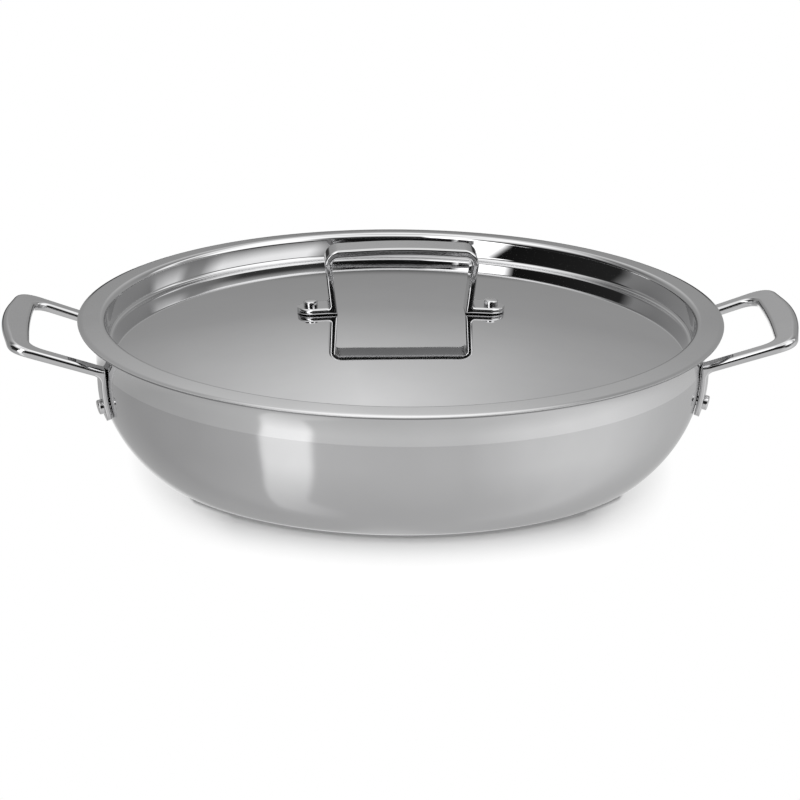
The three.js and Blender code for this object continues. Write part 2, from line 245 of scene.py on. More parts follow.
def filleted(corners):
    """Polyline whose middle corners, given as (point, radius, steps), become arcs."""
    out = [corners[0][0]]
    for i in range(1, len(corners) - 1):
        point, radius, steps = corners[i]
        if radius == 0:
            out.append(point)
            continue
        before = out[-1]
        nxt = corners[i + 1]
        after = nxt[0] if nxt[1] == 0 else (point + nxt[0]) / 2
        out.extend(fillet(before, point, after, radius, steps))
    out.append(corners[-1][0])
    return out


def offset(points, distance):
    """Moves a profile that starts on the axis to its left, with mitred corners."""
    normals = []
    for a, b in zip(points, points[1:]):
        along = (b - a).normalized()
        normals.append(Vector((-along.y, along.x)))
    out = []
    for i, p in enumerate(points):
        after = normals[min(i, len(normals) - 1)]
        before = Vector((-after.x, after.y)) if i == 0 else normals[i - 1]
        out.append(p + (before + after) * (distance / (1 + before.dot(after))))
    return out


def smooth(t):
    """Soft step from 0 to 1."""
    t = max(0.0, min(1.0, t))
    return t * t * (3 - 2 * t)


def piece(name, verts, faces, material, sharp=SHARP):
    """Object with smooth faces from points in millimetres."""
    mesh = bpy.data.meshes.new(name)
    mesh.from_pydata([tuple(c * MM for c in v) for v in verts], [], faces)
    mesh.update()
    mesh.polygons.foreach_set("use_smooth", [True] * len(mesh.polygons))
    mesh.set_sharp_from_angle(angle=math.radians(sharp))
    obj = bpy.data.objects.new(name, mesh)
    bpy.context.scene.collection.objects.link(obj)
    mesh.materials.append(material)
    return obj


def add_satin(obj, shares):
    """Keeps each point's share of the satin finish for the material."""
    mask = obj.data.attributes.new("satin", "FLOAT", "POINT")
    mask.data.foreach_set("value", shares)


def lathe(profile, segments):
    """Verts, faces and the profile step of each face for a line from axis to axis, lower or outer face first."""
    verts, rows, faces, steps = [], [], [], []
    for r, z in profile:
        if r < 1e-6:
            rows.append([len(verts)])
            verts.append((0, 0, z))
            continue
        rows.append(list(range(len(verts), len(verts) + segments)))
        for i in range(segments):
            a = 2 * math.pi * i / segments
            verts.append((r * math.cos(a), r * math.sin(a), z))
    for step, (low, high) in enumerate(zip(rows, rows[1:])):
        for i in range(segments):
            j = (i + 1) % segments
            if len(low) == 1:
                faces.append((low[0], high[j], high[i]))
            elif len(high) == 1:
                faces.append((low[i], low[j], high[0]))
            else:
                faces.append((low[i], low[j], high[j], high[i]))
            steps.append(step)
    return verts, faces, steps


def paint_steps(obj, steps, finishes):
    """Gives each face of a lathed piece the finish of its profile step."""
    slots = obj.data.materials
    for finish in finishes:
        if finish.name not in slots:
            slots.append(finish)
    obj.data.polygons.foreach_set("material_index", [slots.find(finishes[step].name) for step in steps])


def loft(rings):
    """Skin over equal rings of points, with flat ends."""
    count = len(rings[0])
    verts = [tuple(p) for ring in rings for p in ring]
    faces = []
    for k in range(len(rings) - 1):
        for i in range(count):
            j = (i + 1) % count
            faces.append((k * count + i, k * count + j, (k + 1) * count + j, (k + 1) * count + i))
    last = (len(rings) - 1) * count
    faces.append(tuple(reversed(range(count))))
    faces.append(tuple(range(last, last + count)))
    return verts, faces


def rounded_box(width, thick, edge, steps):
    """Rounded rectangle in units of its half sizes, counter-clockwise, with a point near each end of its flats."""
    flat_w, flat_t = width / 2 - edge, thick / 2 - edge
    out = []
    for corner, (cx, cy) in enumerate(((1, 1), (-1, 1), (-1, -1), (1, -1))):
        for i in range(-1, steps + 2):
            a = math.radians(90 * (corner + min(max(i, 0), steps) / steps))
            on_flat = i < 0 or i > steps
            across = on_flat and (i > steps) == (corner % 2 == 0)
            x = cx * flat_w * (FLAT_SHARE if across else 1.0) + edge * math.cos(a)
            y = cy * flat_t * (FLAT_SHARE if on_flat and not across else 1.0) + edge * math.sin(a)
            out.append((x / (width / 2), y / (thick / 2)))
    return out


def node(tree, kind, **inputs):
    """Shader node with values on its sockets, named with _ for a space."""
    made = tree.nodes.new("ShaderNode" + kind)
    for key, value in inputs.items():
        made.inputs[key.replace("_", " ")].default_value = value
    return made


def math_node(tree, operation, a, b=None):
    """Result of a sum on numbers or sockets."""
    made = tree.nodes.new("ShaderNodeMath")
    made.operation = operation
    for socket, value in zip(made.inputs, (a, b)):
        if value is None:
            continue
        if isinstance(value, (int, float)):
            socket.default_value = value
        else:
            tree.links.new(value, socket)
    return made.outputs[0]


def level_ramp(tree, value, stops):
    """Grey levels at places from 0 to 1 of a value."""
    made = tree.nodes.new("ShaderNodeValToRGB")
    elements = made.color_ramp.elements
    elements.remove(elements[0])
    for i, (place, level) in enumerate(stops):
        element = elements[0] if i == 0 else elements.new(place)
        element.position = place
        element.color = (level, level, level, 1)
    tree.links.new(value, made.inputs[0])
    return made.outputs[0]


def mixed_shader(tree, share, a, b):
    """Output of a mix of two shader nodes."""
    mix = tree.nodes.new("ShaderNodeMixShader")
    tree.links.new(share, mix.inputs[0])
    tree.links.new(a.outputs[0], mix.inputs[1])
    tree.links.new(b.outputs[0], mix.inputs[2])
    return mix.outputs[0]


def turned_vector(tree, pitch):
    """Coordinates that change fast across the turning lines and slowly along them."""
    where = tree.nodes.new("ShaderNodeTexCoord")
    split = tree.nodes.new("ShaderNodeSeparateXYZ")
    tree.links.new(where.outputs["Object"], split.inputs[0])
    x, y, z = split.outputs
    squares = math_node(tree, "ADD", math_node(tree, "MULTIPLY", x, x), math_node(tree, "MULTIPLY", y, y))
    raised = math_node(tree, "MULTIPLY", z, LINE_HEIGHT_SHARE)
    across = math_node(tree, "MULTIPLY", math_node(tree, "ADD", math_node(tree, "SQRT", squares), raised), pitch)
    join = tree.nodes.new("ShaderNodeCombineXYZ")
    tree.links.new(across, join.inputs[0])
    tree.links.new(math_node(tree, "MULTIPLY", x, LINE_STRETCH), join.inputs[1])
    tree.links.new(math_node(tree, "MULTIPLY", y, LINE_STRETCH), join.inputs[2])
    return join.outputs[0]


def steel(name, tone, rough, spread, lines=0.0, pitch=LINE_PITCH, anisotropy=0.0, turn=0.0, grain=0.0, satin=None):
    """Steel with turning lines or a fine cast grain, faint wipe marks in its gloss and a slight change of tone."""
    made = bpy.data.materials.new(name)
    made.use_nodes = True
    tree = made.node_tree
    shader = tree.nodes["Principled BSDF"]
    shader.inputs["Metallic"].default_value = 1.0
    if anisotropy:
        shader.inputs["Anisotropic"].default_value = anisotropy
        shader.inputs["Anisotropic Rotation"].default_value = turn
        tangent = tree.nodes.new("ShaderNodeTangent")
        tangent.direction_type = "RADIAL"
        tangent.axis = "Z"
        tree.links.new(tangent.outputs[0], shader.inputs["Tangent"])
    where = tree.nodes.new("ShaderNodeTexCoord")
    wipe = node(tree, "TexNoise", **WIPE_NOISE)
    tree.links.new(where.outputs["Object"], wipe.inputs["Vector"])
    colour = tree.nodes.new("ShaderNodeValToRGB")
    for element, place, share in zip(colour.color_ramp.elements, WIPE_RANGE, WIPE_TONES):
        element.position = place
        element.color = tuple(c * share for c in tone) + (1.0,)
    tree.links.new(wipe.outputs[0], colour.inputs[0])
    tree.links.new(colour.outputs[0], shader.inputs["Base Color"])
    gloss = tree.nodes.new("ShaderNodeMapRange")
    gloss.inputs["To Min"].default_value = max(0.0, rough - spread)
    gloss.inputs["To Max"].default_value = rough + spread
    tree.links.new(wipe.outputs[0], gloss.inputs["Value"])
    level = gloss.outputs[0]
    if satin is not None:
        mask = tree.nodes.new("ShaderNodeAttribute")
        mask.attribute_name = "satin"
        level = math_node(tree, "ADD", level, math_node(tree, "MULTIPLY", mask.outputs["Fac"], satin))
    tree.links.new(level, shader.inputs["Roughness"])
    if lines:
        relief = node(tree, "TexNoise", **LINE_NOISE)
        tree.links.new(turned_vector(tree, pitch), relief.inputs["Vector"])
    else:
        relief = node(tree, "TexNoise", **GRAIN_NOISE)
        tree.links.new(where.outputs["Object"], relief.inputs["Vector"])
    bump = node(tree, "Bump", Strength=lines or grain, Distance=RELIEF)
    tree.links.new(relief.outputs[0], bump.inputs["Height"])
    tree.links.new(bump.outputs[0], shader.inputs["Normal"])
    return made


WALL = steel("wall_satin_steel", (0.60, 0.60, 0.605), 0.115, 0.01, lines=0.03, anisotropy=0.8, turn=0.25)
# Lighter copy of the wall's steel for the flared lip: a painted reflection of the brighter floor further out that
# the lip mirrors
FLARE_PAINTED_REFLECTION = steel("flare_satin_steel_painted_reflection", (0.70, 0.70, 0.705), 0.115, 0.01, lines=0.03, anisotropy=0.8, turn=0.25)
INSIDE = steel("inside_satin_steel", (0.62, 0.62, 0.625), 0.30, 0.03, lines=0.12, anisotropy=0.6, turn=0.25)
CORE = steel("core_aluminium", (0.76, 0.77, 0.78), 0.42, 0.04, grain=0.2)
FLANGE = steel("flange_satin_steel", (0.65, 0.65, 0.655), 0.09, 0.015, lines=0.03, anisotropy=0.6, turn=0.25)
# Dark steel for the underside half of the lid's edge: painted shade, the dark gap between lid and pan that the edge
# mirrors
EDGE_PAINTED_SHADE = steel("lid_edge_painted_shade_steel", (0.30, 0.30, 0.305), 0.34, 0.03, grain=0.1)
PANEL = steel("panel_polished_steel", (0.63, 0.63, 0.635), 0.035, 0.012, lines=0.006, pitch=1800.0)
LID_WALL = steel("lid_wall_mirror_steel", (0.66, 0.66, 0.665), 0.025, 0.01, lines=0.004)
UNDER = steel("lid_underside_steel", (0.62, 0.62, 0.625), 0.28, 0.03, lines=0.08)
CAST = steel("cast_polished_steel", (0.64, 0.64, 0.645), 0.07, 0.02, grain=0.002, satin=0.08)
STRAP = steel("strap_polished_steel", (0.66, 0.66, 0.665), 0.05, 0.015, grain=0.0008, satin=0.16)
RIVET = steel("rivet_steel", (0.68, 0.68, 0.685), 0.10, 0.03, grain=0.04)


def pan_profile():
    """Outer face of the pan from the middle of its base to its lip."""
    points = [(0.0, 0.0)]
    points += [(r, 0.0) for r in BASE_RINGS]
    points += arc(*KNEE_C, KNEE_R, -math.pi / 2, KNEE_A - math.pi / 2, KNEE_STEPS)
    points += arc(*BOWL_C, BOWL_R, KNEE_A - math.pi / 2, 0, BOWL_STEPS)[1:]
    points += arc(*FLARE_C, FLARE_R, math.pi, math.pi - FLARE_A, FLARE_STEPS)
    return [Vector(p) for p in points]


def add_pan():
    face = pan_profile()
    flare_from = len(face) - 1 - FLARE_STEPS
    for ply, finish, slot_name in (("outer", WALL, "satin_steel"), ("core", CORE, "aluminium_core"),
                                   ("inner", INSIDE, "satin_steel")):
        near, far = PLIES[ply]
        line = offset(face, near) + list(reversed(offset(face, far)))
        skin, skin_faces, steps = lathe(line, PAN_SEGMENTS)
        body = piece("pan_" + ply + "_sheet", skin, skin_faces, finish)
        # The flare takes the lighter steel, a painted reflection, where the bowl keeps the wall's tone
        if ply == "outer":
            paint_steps(body, steps, [WALL] * flare_from + [FLARE_PAINTED_REFLECTION] * (len(line) - flare_from))
        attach(body, "pan")
        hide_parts("pan_" + ply + "_ply")


def wall_at(z):
    """Radius of the pan's outer face at a height, and how far it leans outwards there."""
    tilt = math.asin(max(0.0, BOWL_C[1] - z) / BOWL_R)
    rise = max(0.0, z - FLARE_C[1])
    return BOWL_C[0] + BOWL_R * math.cos(tilt) + FLARE_R - math.sqrt(FLARE_R ** 2 - rise ** 2), tilt


def handle_stations():
    """Half of a right-hand handle from its front pad to the middle of its grip.

    Each station has the middle of its top and low faces, the direction across, the width, the edge and the
    grip's share.
    """
    rad = Vector((math.cos(PAD_ANGLE), -math.sin(PAD_ANGLE), 0))
    tang = Vector((math.sin(PAD_ANGLE), math.cos(PAD_ANGLE), 0))
    root_y = LEG_SPACING / 2
    root_x = math.sqrt(WALL_R ** 2 - root_y ** 2)
    reach_x = WALL_R + PROJECTION
    rise = math.tan(LEG_RISE)
    splay = LEG_SPLAY / (reach_x - root_x)
    heading = Vector((1, -splay, 0)).normalized()
    out = []

    def pad_faces(z):
        radius, tilt = wall_at(z)
        normal = rad * math.cos(tilt) - Vector((0, 0, math.sin(tilt)))
        wall = rad * radius + Vector((0, 0, z))
        return wall + normal * GAP, wall + normal * (GAP + PAD_T)

    def leg_point(h, z):
        return Vector((root_x, -root_y, 0)) + heading * h + Vector((0, 0, z))

    half = PAD_W / 2
    for i in range(1, PAD_STEPS + 1):
        a = math.radians(90 * i / PAD_STEPS)
        faces = pad_faces(PAD_BOTTOM + half * (1 - math.cos(a)))
        width = PAD_W * math.sin(a)
        out.append((*faces, tang, width, min(PAD_EDGE, width * NARROW_EDGE), 0.0))
    under = LEG_ROOT - LEG_T / math.cos(LEG_RISE)
    face_h = GAP + PAD_T
    along = Vector((math.cos(LEG_RISE), math.sin(LEG_RISE)))
    corner = Vector((face_h, under + face_h * rise))
    down_pad = Vector((face_h, corner.y - LEG_BEND_REACH))
    bend = fillet(down_pad, corner, corner + along * LEG_BEND_REACH, LEG_FILLET, PAD_BEND_STEPS)
    z0 = PAD_BOTTOM + half
    for i in range(1, PAD_STEPS + 1):
        out.append((*pad_faces(z0 + (bend[0].y - z0) * i / PAD_STEPS), tang, PAD_W, PAD_EDGE, 0.0))
    leg_across = Vector((splay, 1, 0)).normalized()
    end_top = bend[-1] + Vector((-math.sin(LEG_RISE), math.cos(LEG_RISE))) * LEG_T
    wall_top = Vector((GAP, LEG_ROOT + GAP * rise))
    half_bend = PAD_BEND_STEPS // 2
    for i in range(1, PAD_BEND_STEPS + 1):
        t = i / PAD_BEND_STEPS
        low = bend[i]
        if i <= half_bend:
            high = Vector((GAP, bend[0].y + (wall_top.y - bend[0].y) * i / half_bend))
        else:
            high = wall_top.lerp(end_top, (i - half_bend) / half_bend)
        spots = []
        for h, z in (high, low):
            extra = wall_at(min(z, LEG_ROOT))[0] - WALL_R
            on_pad = rad * (WALL_R + h + extra) + Vector((0, 0, z))
            spots.append(on_pad.lerp(leg_point(h, z), t))
        out.append((*spots, tang.lerp(leg_across, t).normalized(), PAD_W + (LEG_W - PAD_W) * t,
                    PAD_EDGE + (LEG_EDGE - PAD_EDGE) * t, 0.0))

    def edge_line(side, crown_x, bow, radius):
        """One edge of the plate's top face, from the bend to the middle of the grip."""
        def on_top(x, y):
            return Vector((x, y, LEG_ROOT + (x - root_x) * rise))

        def on_leg(x):
            return on_top(x, -root_y - splay * (x - root_x) - side * LEG_W / 2)

        corner_x = crown_x - CROWN_SHARE * bow
        start, turn = on_leg(root_x + heading.x * end_top.x), on_leg(corner_x)
        middle = on_top(corner_x + bow, 0)
        back, ahead = (start - turn).normalized(), (middle - turn).normalized()
        half_way = (turn + middle) / 2
        reach = radius / math.tan(math.acos(back.dot(ahead)) / 2)
        turn_in, turn_out = turn + back * reach, turn + ahead * reach
        line = [start.lerp(turn_in, i / LEG_STEPS) for i in range(1, LEG_STEPS)]
        line += bezier(turn_in, turn, turn_out, GRIP_CORNER_STEPS)
        line += [turn_out.lerp(half_way, i / GRIP_SIDE_STEPS) for i in range(1, GRIP_SIDE_STEPS)]
        crown = bezier(half_way, middle, Vector((half_way.x, -half_way.y, half_way.z)), GRIP_CROWN_STEPS)
        return line + crown[:GRIP_CROWN_STEPS // 2 + 1]

    leg_up = Vector((-math.sin(LEG_RISE), 0, math.cos(LEG_RISE)))
    outer = edge_line(1, reach_x, OUTER_BOW, OUTER_CORNER)
    inner = edge_line(-1, reach_x - GRIP_W, INNER_BOW, INNER_CORNER)
    for i, (a, b) in enumerate(zip(outer, inner)):
        share = smooth((i - LEG_STEPS + 1) / GRIP_CORNER_STEPS)
        top = (a + b) / 2
        thick = LEG_T + (GRIP_T - LEG_T) * share
        out.append((top, top - leg_up * thick, (b - a).normalized(), (b - a).length,
                    LEG_EDGE + (GRIP_EDGE - LEG_EDGE) * share, share))
    return out


def handle_mesh(turn):
    """Verts and faces of a turned handle, and each point's share of the satin finish."""
    half = handle_stations()
    flip = lambda v: Vector((v.x, -v.y, v.z))
    whole = half + [(flip(a), flip(b), flip(c), *rest) for a, b, c, *rest in reversed(half[:-1])]
    rings, satin = [], []
    for top, low, across, width, edge, share in whole:
        mid, rise = (top + low) / 2, (top - low) / 2
        ring = []
        for u, v in rounded_box(width, 2 * rise.length, edge, HANDLE_EDGE_STEPS):
            ring.append(turn @ (mid + across * (u * width / 2) + rise * v))
            satin.append(share * smooth((v - GRIP_SATIN_FROM) / GRIP_SATIN_FADE))
        rings.append(ring)
    verts, faces = loft(rings)
    return verts, faces, satin


def rivet_profile(sheet, fitting, head, head_h):
    """Rivet from its formed end to its head, with height 0 on the face that the fitting sits on."""
    under = -sheet - FORMED_GAP
    seat = 2 * GAP + fitting
    formed_r, head_r = FORMED_HEAD / 2, head / 2
    line = filleted([
        (Vector((0, under - FORMED_HEAD_H)), 0, 0),
        (Vector((formed_r, under - FORMED_HEAD_H * FORMED_SIDE)), FORMED_EDGE, RIVET_EDGE_STEPS),
        (Vector((formed_r, under)), 0, 0),
    ])
    line += [Vector((RIVET_SHANK_R, under)), Vector((RIVET_SHANK_R, seat - RIVET_HEAD_SINK))]
    line += filleted([
        (Vector((head_r, seat - RIVET_HEAD_SINK)), 0, 0),
        (Vector((head_r, seat + head_h * RIVET_HEAD_SIDE)), RIVET_HEAD_EDGE, RIVET_EDGE_STEPS),
        (Vector((0, seat + head_h)), 0, 0),
    ])
    return line


def add_rivet(name, line, place, body, node_name):
    verts, faces, _ = lathe(line, RIVET_SEGMENTS)
    made = piece(name, [place @ Vector(v) for v in verts], faces, RIVET)
    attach(made, body)
    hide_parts(node_name)


def add_side_handles():
    for hand, angle in (("right", 0.0), ("left", math.pi)):
        verts, faces, satin = handle_mesh(Matrix.Rotation(angle, 3, "Z"))
        made = piece(hand + "_handle_casting", verts, faces, CAST, sharp=SHARP_CAST)
        add_satin(made, satin)
        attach(made, "pan")
        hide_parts(hand + "_handle")
        line = rivet_profile(SHEET, PAD_T, PAD_RIVET_HEAD, PAD_RIVET_HEAD_H)
        for spot, side in (("front", -1), ("rear", 1)):
            azimuth = angle + (side if angle == 0 else -side) * PAD_ANGLE
            height = LEG_ROOT - PAD_RIVET_DROP
            radius, tilt = wall_at(height)
            place = (Matrix.Rotation(azimuth, 4, "Z") @ Matrix.Translation((radius, 0, height))
                     @ Matrix.Rotation(math.pi / 2 + tilt, 4, "Y"))
            add_rivet(hand + "_" + spot + "_rivet_head", line, place, "pan", hand + "_handle_" + spot + "_rivet")


def dome_at(distance):
    """Height of the lid's panel at a distance from the axis, and its slope there."""
    bulge = PANEL_R - 2 * DOME_SHOULDER
    share = distance / (DOME_SHOULDER + math.sqrt(DOME_SHOULDER ** 2 + bulge * distance))
    return DOME_TOP - DOME_RISE * share ** 2, math.atan(DOME_RISE * share / (DOME_SHOULDER + bulge * share))


def lid_profile():
    """Upper face of the lid from its middle to its edge, and the finish of each step."""
    dome = bezier(Vector((0, DOME_TOP)), Vector((DOME_SHOULDER, DOME_TOP)), Vector((PANEL_R, PANEL_Z)), DOME_STEPS)
    edge_z = FLANGE_TOP - FLANGE_DROOP
    rim = filleted([
        (dome[-3], 0, 0),
        (dome[-1], PANEL_FILLET, PANEL_FILLET_STEPS),
        (Vector((FLANGE_IN_R, FLANGE_TOP)), FLANGE_BEND, FLANGE_BEND_STEPS),
        (Vector((LID_R - EDGE_ROLL, edge_z + EDGE_ROLL * FLANGE_FALL)), EDGE_ROLL_R, EDGE_ROLL_STEPS),
        (Vector((LID_R, edge_z - EDGE_ROLL_FALL)), 0, 0),
    ])
    line = dome[:-3] + rim[:-1] + [rim[-2].lerp(rim[-1], t) for t in EDGE_STOPS]
    finishes = []
    for a, b in zip(line, line[1:]):
        radius = (a.x + b.x) / 2
        if radius < PANEL_END:
            finishes.append(PANEL)
        elif radius < MIRROR_END:
            finishes.append(LID_WALL)
        else:
            finishes.append(FLANGE)
    return line, finishes


def add_lid():
    upper, finishes = lid_profile()
    lower = offset(upper, -LID_T)
    edge = filleted([
        (lower[-2], 0, 0),
        (lower[-1], LID_EDGE_R, LID_EDGE_STEPS),
        (upper[-1], LID_EDGE_R, LID_EDGE_STEPS),
        (upper[-2], 0, 0),
    ])
    line = lower[:-1] + edge[1:-1] + list(reversed(upper[:-1]))
    skin, skin_faces, steps = lathe(line, LID_SEGMENTS)
    lid = piece("lid_sheet", skin, skin_faces, UNDER, sharp=SHARP_LID)
    below = [UNDER] * (len(lower) - 2)
    # The lower steps of the edge take the dark steel, a painted shade line under the lid's bright rim
    rolled = [EDGE_PAINTED_SHADE] * PAINTED_SHADE_EDGE_STEPS + [FLANGE] * (len(edge) - PAINTED_SHADE_EDGE_STEPS - 1)
    paint_steps(lid, steps, below + rolled + list(reversed(finishes[:-1])))
    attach(lid, "lid")
    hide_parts("lid_shell")


def strap_stations():
    """Right half of the strap from the foot's end to the middle of the arch.

    Each station has a point of the upper and of the lower face, the width and the share of the satin finish.
    """
    foot_end = FOOT_SPAN / 2
    leg_out = STRAP_SPAN / 2
    leg_in = leg_out - STRAP_T
    arch_out = ARCH_SPAN / 2
    arch_in = arch_out - STRAP_T
    top = DOME_TOP + GAP + ARCH_H
    shoulder = top - ARCH_BOW
    half = ARCH_W / 2
    on_dome = lambda x, above: Vector((x, dome_at(x)[0] + above))

    def crown(x, lift, reach):
        """Height of the bowed arch: a parabola in its middle half, straight beyond."""
        slope = ARCH_BOW / reach
        x = abs(x)
        flat = reach / 2
        if x > flat:
            return lift - slope * x
        return lift - slope * flat / 2 - slope * x * x / (2 * flat)

    out = []
    for i in range(1, FOOT_END_STEPS + 1):
        a = math.radians(90 * i / FOOT_END_STEPS)
        x = foot_end - half * (1 - math.cos(a))
        out.append((on_dome(x, GAP + FOOT_T), on_dome(x, GAP), ARCH_W * math.sin(a), 0.0))
    corner = on_dome(leg_out, GAP + FOOT_T)
    arch_corner = Vector((arch_out, shoulder))
    on_foot = on_dome(leg_out + FOOT_BEND_REACH, GAP + FOOT_T)
    bend = fillet(on_foot, corner, arch_corner, FOOT_FILLET, FOOT_BEND_STEPS)
    x0 = foot_end - half
    for i in range(1, FOOT_STEPS + 1):
        x = x0 + (bend[0].x - x0) * i / FOOT_STEPS
        out.append((on_dome(x, GAP + FOOT_T), on_dome(x, GAP), ARCH_W, 0.0))
    inner_corner = on_dome(leg_in, GAP)
    arch_under = Vector((arch_in, shoulder - ARCH_T))
    inner_up = (arch_under - inner_corner).normalized()
    rise_to = inner_corner + inner_up * (bend[-1].y - inner_corner.y)
    half_bend = FOOT_BEND_STEPS // 2
    for i in range(1, FOOT_BEND_STEPS + 1):
        if i <= half_bend:
            low = on_dome(bend[0].x + (leg_in - bend[0].x) * i / half_bend, GAP)
        else:
            low = inner_corner.lerp(rise_to, (i - half_bend) / half_bend)
        out.append((bend[i], low, ARCH_W, 0.0))
    outer_turn = fillet(bend[-1], arch_corner, Vector((0, top)), ARCH_OUT_R, ARCH_CORNER_STEPS)
    inner_turn = fillet(rise_to, arch_under, Vector((0, top - ARCH_T)), ARCH_IN_R, ARCH_CORNER_STEPS)
    for i in range(1, STRAP_LEG_STEPS + 1):
        t = i / STRAP_LEG_STEPS
        out.append((bend[-1].lerp(outer_turn[0], t), rise_to.lerp(inner_turn[0], t), ARCH_W, 0.0))
    half_turn = ARCH_CORNER_STEPS // 2
    for i in range(1, ARCH_CORNER_STEPS + 1):
        out.append((outer_turn[i], inner_turn[i], ARCH_W, smooth((i - half_turn) / half_turn)))
    for i in range(1, ARCH_STEPS + 1):
        t = i / ARCH_STEPS
        xo = outer_turn[-1].x * (1 - t)
        xi = inner_turn[-1].x * (1 - t)
        high = Vector((xo, crown(xo, top, arch_out)))
        out.append((high, Vector((xi, crown(xi, top - ARCH_T, arch_in))), ARCH_W, 1.0))
    return out


def add_lid_handle():
    half = strap_stations()
    flip = lambda v: Vector((-v.x, v.y))
    whole = half + [(flip(a), flip(b), w, s) for a, b, w, s in reversed(half[:-1])]
    rings, satin = [], []
    for high, low, width, share in whole:
        top3, low3 = Vector((high.x, 0, high.y)), Vector((low.x, 0, low.y))
        mid, rise = (top3 + low3) / 2, (top3 - low3) / 2
        edge_r = min(STRAP_EDGE, width * NARROW_EDGE)
        ring = []
        for u, v in rounded_box(width, 2 * rise.length, edge_r, STRAP_EDGE_STEPS):
            ring.append(mid + Vector((0, u * width / 2, 0)) + rise * v)
            satin.append(share if v > ARCH_SATIN_FROM else 0.0)
        rings.append(ring)
    verts, faces = loft(rings)
    strap = piece("lid_strap", verts, faces, STRAP, sharp=SHARP_LID)
    add_satin(strap, satin)
    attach(strap, "lid")
    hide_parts("lid_handle")
    line = rivet_profile(LID_T, FOOT_T, LID_RIVET_HEAD, LID_RIVET_HEAD_H)
    spot = LID_RIVET_SPACING / 2
    height, lean = dome_at(spot)
    for hand, side in (("left", -1), ("right", 1)):
        place = Matrix.Translation((side * spot, 0, height)) @ Matrix.Rotation(side * lean, 4, "Y")
        add_rivet("lid_" + hand + "_rivet_head", line, place, "lid", "lid_" + hand + "_rivet")


add_pan()
add_side_handles()
add_lid()
add_lid_handle()


# Floor, in millimetres: just below the base, in rings out to the edge of the sweep
FLOOR_Z = -0.05
FLOOR_RINGS = (0.0, 300.0, 900.0, 6000.0)
FLOOR_TONE = (0.96, 0.96, 0.96, 1)
FLOOR_ROUGH = 0.9
# Share of plain white in the floor at distances, in metres, from the middle, and where the sides turn white sooner
FLOOR_WHITE = [(0.1295, 0.0), (0.133, 0.28), (0.16, 0.62), (0.205, 1.0)]
FLOOR_SIDE_FROM = 0.085
FLOOR_SIDE_GAIN = 1.3
# The floor stays dark up to this distance, where the pan's base meets it, but not at the sides
FLOOR_CONTACT = 0.1282
FLOOR_CONTACT_FADE = 0.003
FLOOR_CONTACT_SIDE = 0.104

# Brightness of the studio that the metal mirrors, as (bearing, level), on the table, at its horizon, at eye level
# and above. Bearings are in degrees from the camera, positive to the right.
CARD_TABLE = [
    (-180, 1.05), (-171, 0.9), (-160, 0.48), (-120, 0.44), (-85, 0.5), (-56, 0.62), (-54.5, 1.16), (-36, 1.24),
    (-34, 0.72), (0, 0.68), (22, 0.69), (45, 0.86), (62, 0.93), (82, 0.91), (105, 0.76), (150, 0.55), (162, 0.6),
    (171, 0.9), (180, 1.05),
]
CARD_HORIZON = [
    (-180, 0.04), (-158, 0.04), (-145, 0.33), (-105, 0.36), (-92, 0.06), (-57, 0.05), (-54.5, 2.6), (-35, 2.6),
    (-32, 0.05), (56, 0.05), (76, 0.6), (100, 0.8), (125, 0.5), (145, 0.33), (158, 0.04), (180, 0.04),
]
CARD_LEVEL = [
    (-180, 0.33), (-114, 0.36), (-106, 0.03), (-50, 0.01), (-46, 2.4), (-28, 2.4), (-24, 0.01), (20, 0.01),
    (34, 0.05), (66, 0.06), (80, 0.25), (110, 0.4), (135, 0.4), (180, 0.33),
]
CARD_ABOVE = [
    (-180, 1.0), (-166, 0.62), (-150, 0.42), (-130, 0.14), (-118, 0.32), (-113, 0.36), (-106, 0.03), (-50, 0.01),
    (-46, 2.4), (-28, 2.4), (-24, 0.01), (20, 0.01), (32, 1.6), (75, 1.6), (86, 0.5), (95, 0.45), (101, 1.3),
    (116, 1.3), (122, 0.25), (136, 0.3), (150, 0.42), (166, 0.62), (180, 1.0),
]
CARD_UNDER = 0.6
CARD_TOP = 1.5
CARD_ZENITH = 0.8
# Share of the studio that counts as behind the object, at bearings
CARD_BEHIND = [(-130, 1.0), (-110, 0.0), (110, 0.0), (130, 1.0)]
# In front, the table's bearings shrink to these shares at elevations, so that its cards stand upright in the curved
# wall, and the higher cards lean by these degrees
CARD_DRAW_IN = [(-66, 0.52), (-58, 0.67), (-51, 0.775), (-44, 0.86), (-36, 0.926), (-30, 0.96), (-20, 1.0)]
CARD_NOT_DRAWN = [(-90, 1.0), (90, 1.0)]
CARD_LEAN = [(18, 0.0), (30, 12.0)]
# Elevations over which each belt of the studio gives way to the next
UNDER_TO_TABLE = [(-80, 0.0), (-36, 1.0)]
TABLE_TO_HORIZON = [(-9, 0.0), (-6, 1.0)]
HORIZON_TO_LEVEL = [(3, 0.0), (6, 1.0)]
LEVEL_TO_ABOVE_FRONT = [(16, 0.0), (22, 1.0)]
LEVEL_TO_ABOVE_BEHIND = [(6, 0.0), (18, 0.15), (30, 0.65), (40, 1.0)]
ABOVE_TO_TOP_FRONT = [(35, 0.0), (42, 0.35), (64, 1.0)]
ABOVE_TO_TOP_BEHIND = [(48, 0.0), (64, 1.0)]
TOP_TO_ZENITH = [(68, CARD_TOP), (84, CARD_ZENITH)]
# Sphere that carries the cards, in millimetres, with a ring every few degrees
CARD_R = 3000.0
CARD_RING_STEP = 3

# Lamp, in metres and watts, and the world's plain light
KEY_PLACE = (0, -0.3, 2.2)
KEY_TARGET = (0, 0, 0)
KEY_SIZE = 1.8
KEY_POWER = 62
WORLD_LIGHT = 0.25

